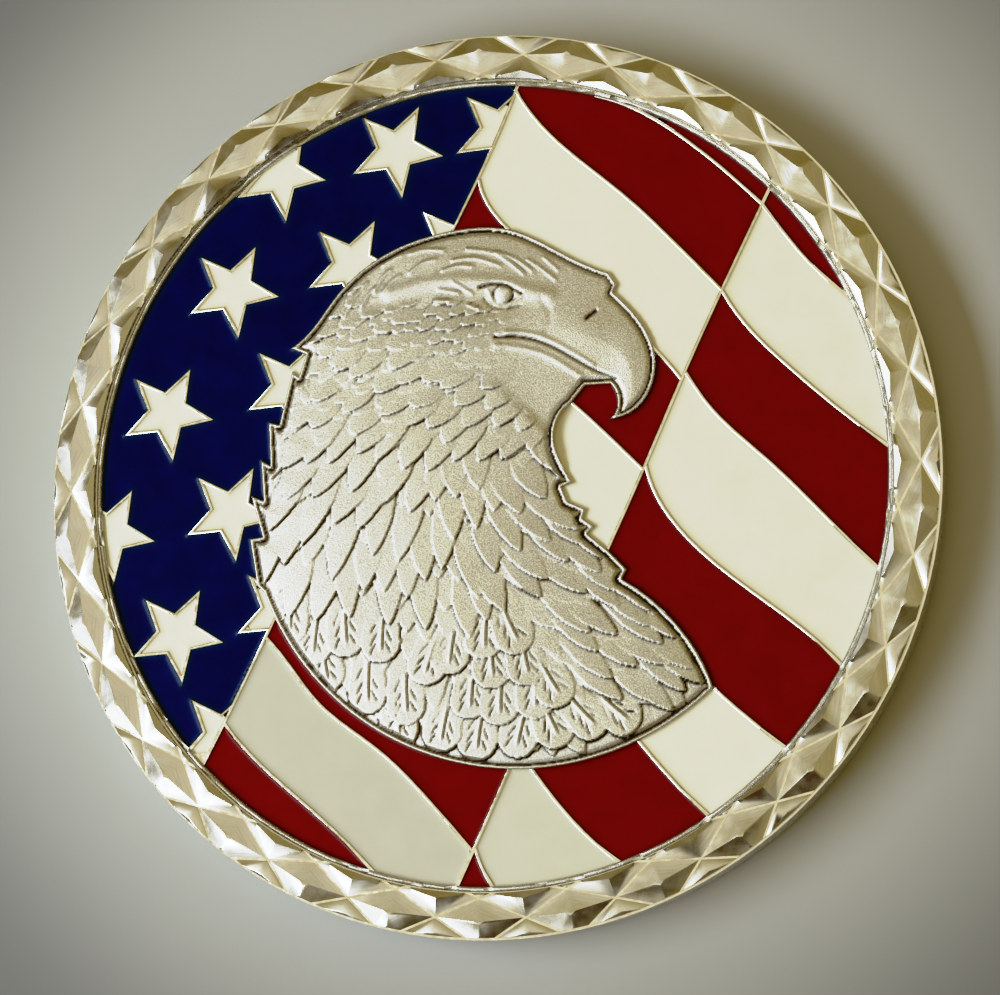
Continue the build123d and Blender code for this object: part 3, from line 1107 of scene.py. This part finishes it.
@dataclass
class Studio:
    """Pale floor, warm room, soft light from the left and the camera."""

    camera_place: tuple[float, float, float] = (30.56, -18.69, 126.2)
    camera_turn: Pair = (0.1398, 0.2337)
    lens: float = 95.1
    key_azimuth: float = 197.0
    key_height: float = 46.0
    key_distance: float = 260.0
    key_size: Pair = (230.0, 82.0)
    key_power: float = 0.58
    key_colour: str = "#E4F2FF"
    room_power: float = 1.14
    card_towards: Pair = (285.0, 57.0)
    floor_half: float = 1.5
    floor_middle: float = 2.0
    # Painted shade on the floor: it starts to darken at the first distance and is fully dark at the second,
    # in millimetres.
    floor_painted_shade: Pair = (23.0, 38.0)
    floor_roughness: float = 0.75
    film_white: float = 4.0
    film: tuple[Pair, ...] = (
        (0.008, 0.012), (0.02, 0.064), (0.05, 0.19), (0.1, 0.42), (0.16, 0.71), (0.22, 0.81), (0.32, 0.87),
        (0.55, 0.94),
    )

    def build_floor(self) -> bpy.types.Object:
        """Lays the pale card that the coin lies on, with painted shade that greys it away from a point near
        the coin's centre.
        """
        bm = bmesh.new()
        bmesh.ops.create_grid(bm, x_segments=8, y_segments=8, size=self.floor_half)
        mesh = bpy.data.meshes.new("floor")
        bm.to_mesh(mesh)
        bm.free()
        floor = add_object("floor", mesh)
        material, tree, place = new_material("pale_card")
        pale = ramp(tree, noise(tree, place, 14.0, 3.0), [(0.3, "#B7B7B6"), (0.7, "#BBBBBA")])
        # Painted shade: the card greys towards #79797A with distance from a centre near the coin.
        middle = (0.0, self.floor_middle * MM, 0.0)
        away = add_node(tree, "ShaderNodeVectorMath", {"operation": "SUBTRACT"}, i0=place, i1=middle)
        reach = add_node(tree, "ShaderNodeVectorMath", {"operation": "LENGTH"}, i0=away.outputs["Vector"])
        near, far = self.floor_painted_shade
        painted_shade = remap(tree, reach.outputs["Value"], (near * MM, far * MM), soft=True)
        bump = add_node(
            tree, "ShaderNodeBump", Strength=0.15, Distance=0.05 * MM, Height=noise(tree, place, 0.6, 4.0)
        )
        wire(tree, blend(tree, painted_shade, pale, "#79797A"), self.floor_roughness, bump, metallic=0.0)
        mesh.materials.append(material)
        return floor

    def build_world(self) -> None:
        """Surrounds the coin with a warm room, dim at the horizon and pale overhead, and one dark card."""
        world = bpy.data.worlds.new("studio")
        bpy.context.scene.world = world
        world.use_nodes = True
        tree = world.node_tree
        background = tree.nodes["Background"]
        toward = add_node(tree, "ShaderNodeTexCoord").outputs["Generated"]
        rise = add_node(tree, "ShaderNodeSeparateXYZ", Vector=toward).outputs["Z"]
        stops = (
            (0.0, "#75632F"), (0.5, "#867443"), (0.77, "#A8985F"), (0.9, "#C3B88B"), (0.97, "#DCD4B5"),
        )
        card = tuple(self.toward(*self.card_towards))
        facing = add_node(tree, "ShaderNodeVectorMath", {"operation": "DOT_PRODUCT"}, i0=toward, i1=card)
        shade = remap(tree, facing.outputs["Value"], (0.88, 0.98), soft=True)
        tint = blend(tree, shade, ramp(tree, rise, stops), "#4A3922")
        tree.links.new(tint, background.inputs["Color"])
        background.inputs["Strength"].default_value = self.room_power

    @staticmethod
    def toward(azimuth: float, height: float) -> Vector:
        """Unit vector from the coin, for an azimuth from +X and a height over the horizon, in degrees."""
        a, e = math.radians(azimuth), math.radians(height)
        return Vector((math.cos(a) * math.cos(e), math.sin(a) * math.cos(e), math.sin(e)))

    def build_key(self) -> None:
        """Hangs the large soft light."""
        lamp = bpy.data.lights.new("soft_key", "AREA")
        lamp.shape = "RECTANGLE"
        lamp.size, lamp.size_y = (side * MM for side in self.key_size)
        lamp.energy = self.key_power
        lamp.color = linear(self.key_colour)[:3]
        key = add_object("soft_key", lamp)
        direction = self.toward(self.key_azimuth, self.key_height)
        key.location = direction * self.key_distance * MM
        key.rotation_euler = direction.to_track_quat("Z", "Y").to_euler()

    def build_camera(self) -> None:
        """Stands the camera where it sees the coin from the lower right."""
        lens = bpy.data.cameras.new("camera")
        lens.lens = self.lens
        lens.clip_start = 0.005
        camera = add_object("camera", lens)
        camera.location = Vector(self.camera_place) * MM
        turn = Vector((*self.camera_turn, 0.0))
        camera.rotation_euler = Quaternion(turn.normalized(), turn.length).to_euler()
        bpy.context.scene.camera = camera

    def build_exposure(self) -> None:
        """Sets a film-like response: a short toe, even middle tones and a long shoulder for bright metal."""
        view = bpy.context.scene.view_settings
        view.view_transform = "Standard"
        view.use_curve_mapping = True
        mapping = view.curve_mapping
        mapping.white_level = (self.film_white,) * 3
        curve = mapping.curves[3]
        while len(curve.points) < len(self.film) + 2:
            curve.points.new(0.5, 0.5)
        for point, place in zip(curve.points, [(0.0, 0.0), *self.film, (1.0, 1.0)]):
            point.location = place
        mapping.update()

    def build(self) -> None:
        """Sets up the whole studio."""
        self.build_camera()
        self.build_floor()
        self.build_world()
        self.build_key()
        self.build_exposure()


@dataclass
class Coin:
    """The challenge coin: struck body, eagle and enamel cells."""

    blasted: BlastedSilver = BlastedSilver()
    cut: CutSilver = CutSilver()
    polished: PolishedSilver = PolishedSilver()
    enamels: tuple[tuple[str, Slot, SoftEnamel], ...] = (
        ("blue_", Slot.BLUE, SoftEnamel("soft_enamel_navy", "#01014C", "#020656", "#06304F")),
        ("star_", Slot.WHITE, SoftEnamel("soft_enamel_ivory_star", "#F2F1E4", "#EDECDD", "#DAD7C2")),
        # Painted shade: the bottom and short white cells take greyer copies of the one ivory enamel, darker
        # for the bottom cells and milder for the short ones.
        ("white_bottom", Slot.WHITE, SoftEnamel("soft_enamel_ivory_greyed", "#CDCCC5", "#C9C9C0", "#C2BFAC")),
        ("white_short", Slot.WHITE, SoftEnamel("soft_enamel_ivory_dull", "#D6D6CE", "#D2D2C9", "#C8C5B2")),
        ("white_", Slot.WHITE, SoftEnamel("soft_enamel_ivory", "#F2F1E4", "#EEEDDF", "#DAD7C2")),
        ("red_", Slot.RED, SoftEnamel("soft_enamel_crimson", "#790000", "#800000", "#5A0000")),
    )

    def build(self) -> None:
        """Builds every piece."""
        body = StruckBody()
        outline = body.eagle_outline()
        polished, cut, blasted = self.polished.build(), self.cut.build(), self.blasted.build()
        EagleRelief(outline, body.seat).build(blasted)
        body.build([polished, cut, blasted])
        fills = {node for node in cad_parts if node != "coin_body"}
        for prefix, slot, enamel in self.enamels:
            finish = enamel.build()
            cells = {node for node in fills if node.startswith(prefix)}
            fills -= cells
            for node in sorted(cells):
                EnamelFill(node, slot).build(finish)


def main() -> None:
    """Builds the coin and its studio."""
    logging.basicConfig(level=logging.INFO, format="%(message)s")
    Coin().build()
    Studio().build()


if __name__ == "__main__":
    main()
